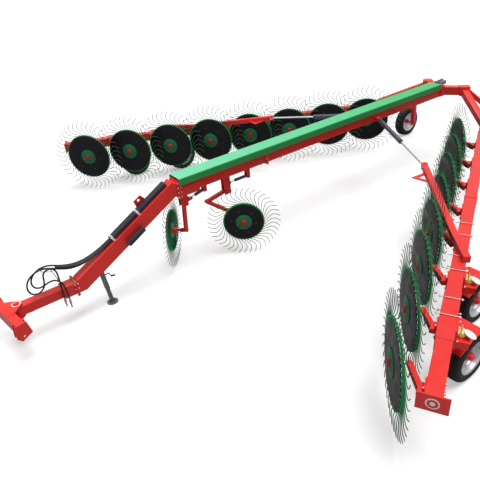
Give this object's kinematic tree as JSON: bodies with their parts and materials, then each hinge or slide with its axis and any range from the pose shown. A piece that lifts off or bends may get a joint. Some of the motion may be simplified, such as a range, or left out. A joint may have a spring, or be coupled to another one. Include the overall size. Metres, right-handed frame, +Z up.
{
  "type": "towed V wheel rake",
  "caption": "Towed V rake: two angled wing beams with tined rake wheels, two centre wheels, ground wheels, drawbar, hitch and jack.",
  "frame": {"origin": "on the ground below the centre of the machine's box", "axes": "+X to the rear, +Y to the machine's right, +Z up"},
  "size_m": [9.6744, 8.8794, 1.5503],
  "materials": {
    "red_paint": "satin",
    "green_paint": "satin",
    "green_wheel_paint": "satin",
    "tyre": "matte",
    "black_plastic": "matte",
    "hose_rubber": "matte",
    "galvanised": "satin",
    "chrome": "polished",
    "dark_paint": "satin",
    "valve_grey": "satin",
    "coupling_steel": "satin"
  },
  "bodies": {
    "frame": {"main_beam": "red_paint", "beam_cover": "green_paint", "drawbar": "red_paint", "drawbar_tube": "red_paint", "rear_yoke": "red_paint", "rear_legs": "red_paint", "wing_hangers": "red_paint", "jack_tube": "galvanised", "hose_guard": "black_plastic", "document_tube": "black_plastic", "lifting_lug": "red_paint", "valve_block": "valve_grey", "beam_brackets": "red_paint", "hose_left": "hose_rubber", "hose_right": "hose_rubber", "hose_couplings": "coupling_steel"},
    "hitch_head": {"hitch_head": "red_paint"},
    "jack_leg": {"jack_leg": "galvanised"},
    "wing_right": {"wing_beam_right": "red_paint", "rake_arms_right": "red_paint", "wheel_carriers_right": "red_paint", "wing_lever_right": "red_paint"},
    "wing_ram_right": {"wing_ram_right": "dark_paint"},
    "wing_ram_rod_right": {"wing_ram_rod_right": "chrome"},
    "rake_wheel_right_1": {"rake_wheel_right_1": "green_wheel_paint"},
    "rake_wheel_right_2": {"rake_wheel_right_2": "green_wheel_paint"},
    "rake_wheel_right_3": {"rake_wheel_right_3": "green_wheel_paint"},
    "rake_wheel_right_4": {"rake_wheel_right_4": "green_wheel_paint"},
    "rake_wheel_right_5": {"rake_wheel_right_5": "green_wheel_paint"},
    "rake_wheel_right_6": {"rake_wheel_right_6": "green_wheel_paint"},
    "rake_wheel_right_7": {"rake_wheel_right_7": "green_wheel_paint"},
    "rake_wheel_right_8": {"rake_wheel_right_8": "green_wheel_paint"},
    "wing_wheel_right_rear": {"wing_wheel_right_rear": "tyre"},
    "wing_wheel_right_front": {"wing_wheel_right_front": "tyre"},
    "rear_wheel_right": {"rear_wheel_right": "tyre"},
    "wing_left": {"wing_beam_left": "red_paint", "rake_arms_left": "red_paint", "wheel_carriers_left": "red_paint", "wing_lever_left": "red_paint"},
    "wing_ram_left": {"wing_ram_left": "dark_paint"},
    "wing_ram_rod_left": {"wing_ram_rod_left": "chrome"},
    "rake_wheel_left_1": {"rake_wheel_left_1": "green_wheel_paint"},
    "rake_wheel_left_2": {"rake_wheel_left_2": "green_wheel_paint"},
    "rake_wheel_left_3": {"rake_wheel_left_3": "green_wheel_paint"},
    "rake_wheel_left_4": {"rake_wheel_left_4": "green_wheel_paint"},
    "rake_wheel_left_5": {"rake_wheel_left_5": "green_wheel_paint"},
    "rake_wheel_left_6": {"rake_wheel_left_6": "green_wheel_paint"},
    "rake_wheel_left_7": {"rake_wheel_left_7": "green_wheel_paint"},
    "rake_wheel_left_8": {"rake_wheel_left_8": "green_wheel_paint"},
    "wing_wheel_left_rear": {"wing_wheel_left_rear": "tyre"},
    "wing_wheel_left_front": {"wing_wheel_left_front": "tyre"},
    "rear_wheel_left": {"rear_wheel_left": "tyre"},
    "kicker_arm_rear": {"kicker_arm_rear": "red_paint"},
    "kicker_wheel_rear": {"kicker_wheel_rear": "green_wheel_paint"},
    "kicker_ram_rear": {"kicker_ram_rear": "dark_paint"},
    "kicker_ram_rod_rear": {"kicker_ram_rod_rear": "chrome"},
    "kicker_arm_front": {"kicker_arm_front": "red_paint"},
    "kicker_wheel_front": {"kicker_wheel_front": "green_wheel_paint"},
    "kicker_ram_front": {"kicker_ram_front": "dark_paint"},
    "kicker_ram_rod_front": {"kicker_ram_rod_front": "chrome"}
  },
  "joints": [
    {"name": "hitch_swivel", "type": "hinge", "parent": "frame", "child": "hitch_head", "pos_m": [-4.543, 0, 0.5], "axis": [0, 0, 1], "range_deg": [-55, 35]},
    {"name": "jack_height", "type": "slide", "parent": "frame", "child": "jack_leg", "axis": [-0.0872, 0, 0.9962], "range_m": [0, 0.16]},
    {"name": "wing_fold_right", "type": "hinge", "parent": "frame", "child": "wing_right", "pos_m": [3.47967, 1.26234, 0.885], "axis": [0, 0, 1], "range_deg": [-2, 16]},
    {"name": "ram_swing_right", "type": "hinge", "parent": "frame", "child": "wing_ram_right", "pos_m": [1.947, 0.165, 1.3], "axis": [-0.1523, 0.0099, 0.9883], "range_deg": [-1.99, 15.9]},
    {"name": "ram_stroke_right", "type": "slide", "parent": "wing_ram_right", "child": "wing_ram_rod_right", "axis": [-0.4772, 0.8749, -0.0823], "range_m": [-0.5226, 0.06532]},
    {"name": "rake_wheel_right_1_spin", "type": "hinge", "parent": "wing_right", "child": "rake_wheel_right_1", "pos_m": [3.027, 1.05, 0.758], "axis": [0.7431, 0.6691, 0], "continuous": true},
    {"name": "rake_wheel_right_2_spin", "type": "hinge", "parent": "wing_right", "child": "rake_wheel_right_2", "pos_m": [2.30298, 1.43497, 0.758], "axis": [0.7431, 0.6691, 0], "continuous": true},
    {"name": "rake_wheel_right_3_spin", "type": "hinge", "parent": "wing_right", "child": "rake_wheel_right_3", "pos_m": [1.57897, 1.81993, 0.758], "axis": [0.7431, 0.6691, 0], "continuous": true},
    {"name": "rake_wheel_right_4_spin", "type": "hinge", "parent": "wing_right", "child": "rake_wheel_right_4", "pos_m": [0.85495, 2.2049, 0.758], "axis": [0.7431, 0.6691, 0], "continuous": true},
    {"name": "rake_wheel_right_5_spin", "type": "hinge", "parent": "wing_right", "child": "rake_wheel_right_5", "pos_m": [0.13093, 2.58987, 0.758], "axis": [0.7431, 0.6691, 0], "continuous": true},
    {"name": "rake_wheel_right_6_spin", "type": "hinge", "parent": "wing_right", "child": "rake_wheel_right_6", "pos_m": [-0.59308, 2.97483, 0.758], "axis": [0.7431, 0.6691, 0], "continuous": true},
    {"name": "rake_wheel_right_7_spin", "type": "hinge", "parent": "wing_right", "child": "rake_wheel_right_7", "pos_m": [-1.3171, 3.3598, 0.758], "axis": [0.7431, 0.6691, 0], "continuous": true},
    {"name": "rake_wheel_right_8_spin", "type": "hinge", "parent": "wing_right", "child": "rake_wheel_right_8", "pos_m": [-2.04112, 3.74477, 0.758], "axis": [0.7431, 0.6691, 0], "continuous": true},
    {"name": "wing_wheel_right_rear_spin", "type": "hinge", "parent": "wing_right", "child": "wing_wheel_right_rear", "pos_m": [-0.13632, 3.43982, 0.31], "axis": [0, 1, 0], "continuous": true},
    {"name": "wing_wheel_right_front_spin", "type": "hinge", "parent": "wing_right", "child": "wing_wheel_right_front", "pos_m": [-1.00602, 3.90225, 0.31], "axis": [0, 1, 0], "continuous": true},
    {"name": "rear_wheel_right_spin", "type": "hinge", "parent": "frame", "child": "rear_wheel_right", "pos_m": [4.527, 1.15, 0.31], "axis": [0, 1, 0], "continuous": true},
    {"name": "wing_fold_left", "type": "hinge", "parent": "frame", "child": "wing_left", "pos_m": [3.47967, -1.26234, 0.885], "axis": [0, 0, 1], "range_deg": [-16, 2]},
    {"name": "ram_swing_left", "type": "hinge", "parent": "frame", "child": "wing_ram_left", "pos_m": [1.947, -0.165, 1.3], "axis": [-0.1523, -0.0099, 0.9883], "range_deg": [-15.9, 1.99]},
    {"name": "ram_stroke_left", "type": "slide", "parent": "wing_ram_left", "child": "wing_ram_rod_left", "axis": [-0.4772, -0.8749, -0.0823], "range_m": [-0.5226, 0.06532]},
    {"name": "rake_wheel_left_1_spin", "type": "hinge", "parent": "wing_left", "child": "rake_wheel_left_1", "pos_m": [3.027, -1.05, 0.758], "axis": [0.7431, -0.6691, 0], "continuous": true},
    {"name": "rake_wheel_left_2_spin", "type": "hinge", "parent": "wing_left", "child": "rake_wheel_left_2", "pos_m": [2.30298, -1.43497, 0.758], "axis": [0.7431, -0.6691, 0], "continuous": true},
    {"name": "rake_wheel_left_3_spin", "type": "hinge", "parent": "wing_left", "child": "rake_wheel_left_3", "pos_m": [1.57897, -1.81993, 0.758], "axis": [0.7431, -0.6691, 0], "continuous": true},
    {"name": "rake_wheel_left_4_spin", "type": "hinge", "parent": "wing_left", "child": "rake_wheel_left_4", "pos_m": [0.85495, -2.2049, 0.758], "axis": [0.7431, -0.6691, 0], "continuous": true},
    {"name": "rake_wheel_left_5_spin", "type": "hinge", "parent": "wing_left", "child": "rake_wheel_left_5", "pos_m": [0.13093, -2.58987, 0.758], "axis": [0.7431, -0.6691, 0], "continuous": true},
    {"name": "rake_wheel_left_6_spin", "type": "hinge", "parent": "wing_left", "child": "rake_wheel_left_6", "pos_m": [-0.59308, -2.97483, 0.758], "axis": [0.7431, -0.6691, 0], "continuous": true},
    {"name": "rake_wheel_left_7_spin", "type": "hinge", "parent": "wing_left", "child": "rake_wheel_left_7", "pos_m": [-1.3171, -3.3598, 0.758], "axis": [0.7431, -0.6691, 0], "continuous": true},
    {"name": "rake_wheel_left_8_spin", "type": "hinge", "parent": "wing_left", "child": "rake_wheel_left_8", "pos_m": [-2.04112, -3.74477, 0.758], "axis": [0.7431, -0.6691, 0], "continuous": true},
    {"name": "wing_wheel_left_rear_spin", "type": "hinge", "parent": "wing_left", "child": "wing_wheel_left_rear", "pos_m": [-0.13632, -3.43982, 0.31], "axis": [0, 1, 0], "continuous": true},
    {"name": "wing_wheel_left_front_spin", "type": "hinge", "parent": "wing_left", "child": "wing_wheel_left_front", "pos_m": [-1.00602, -3.90225, 0.31], "axis": [0, 1, 0], "continuous": true},
    {"name": "rear_wheel_left_spin", "type": "hinge", "parent": "frame", "child": "rear_wheel_left", "pos_m": [4.527, -1.15, 0.31], "axis": [0, 1, 0], "continuous": true},
    {"name": "kicker_lift_rear", "type": "hinge", "parent": "frame", "child": "kicker_arm_rear", "pos_m": [-1.273, 0, 1.01], "axis": [0, 1, 0], "range_deg": [-30, 4]},
    {"name": "kicker_wheel_rear_spin", "type": "hinge", "parent": "kicker_arm_rear", "child": "kicker_wheel_rear", "pos_m": [-1.233, -0.33, 0.568], "axis": [0.5878, 0.809, 0], "continuous": true},
    {"name": "kicker_ram_swing_rear", "type": "hinge", "parent": "frame", "child": "kicker_ram_rear", "pos_m": [-0.863, 0, 1.11], "axis": [0, 1, 0], "range_deg": [-0.37, 2.75]},
    {"name": "kicker_ram_stroke_rear", "type": "slide", "parent": "kicker_ram_rear", "child": "kicker_ram_rod_rear", "axis": [-1, 0, 0], "range_m": [-0.00771, 0.05779]},
    {"name": "kicker_lift_front", "type": "hinge", "parent": "frame", "child": "kicker_arm_front", "pos_m": [-2.018, 0, 1.08], "axis": [0, 1, 0], "range_deg": [-30, 4]},
    {"name": "kicker_wheel_front_spin", "type": "hinge", "parent": "kicker_arm_front", "child": "kicker_wheel_front", "pos_m": [-2.168, 0.25, 0.568], "axis": [0.7431, -0.6691, 0], "continuous": true},
    {"name": "kicker_ram_swing_front", "type": "hinge", "parent": "frame", "child": "kicker_ram_front", "pos_m": [-1.653, 0, 1.16], "axis": [0, 1, 0], "range_deg": [-1.78, 13.39]},
    {"name": "kicker_ram_stroke_front", "type": "slide", "parent": "kicker_ram_front", "child": "kicker_ram_rod_front", "axis": [-0.9757, 0, -0.219], "range_m": [-0.00249, 0.01866]}
  ],
  "couplings": [
    {"joint": "ram_swing_right", "follows": "wing_fold_right", "ratio": 0.9935},
    {"joint": "ram_stroke_right", "follows": "wing_fold_right", "m_per_rad": -1.8714},
    {"joint": "ram_swing_left", "follows": "wing_fold_left", "ratio": 0.9935},
    {"joint": "ram_stroke_left", "follows": "wing_fold_left", "m_per_rad": 1.8714},
    {"joint": "kicker_ram_swing_rear", "follows": "kicker_lift_rear", "ratio": -0.091647},
    {"joint": "kicker_ram_stroke_rear", "follows": "kicker_lift_rear", "m_per_rad": -0.11038},
    {"joint": "kicker_ram_swing_front", "follows": "kicker_lift_front", "ratio": -0.44627},
    {"joint": "kicker_ram_stroke_front", "follows": "kicker_lift_front", "m_per_rad": -0.035642}
  ]
}
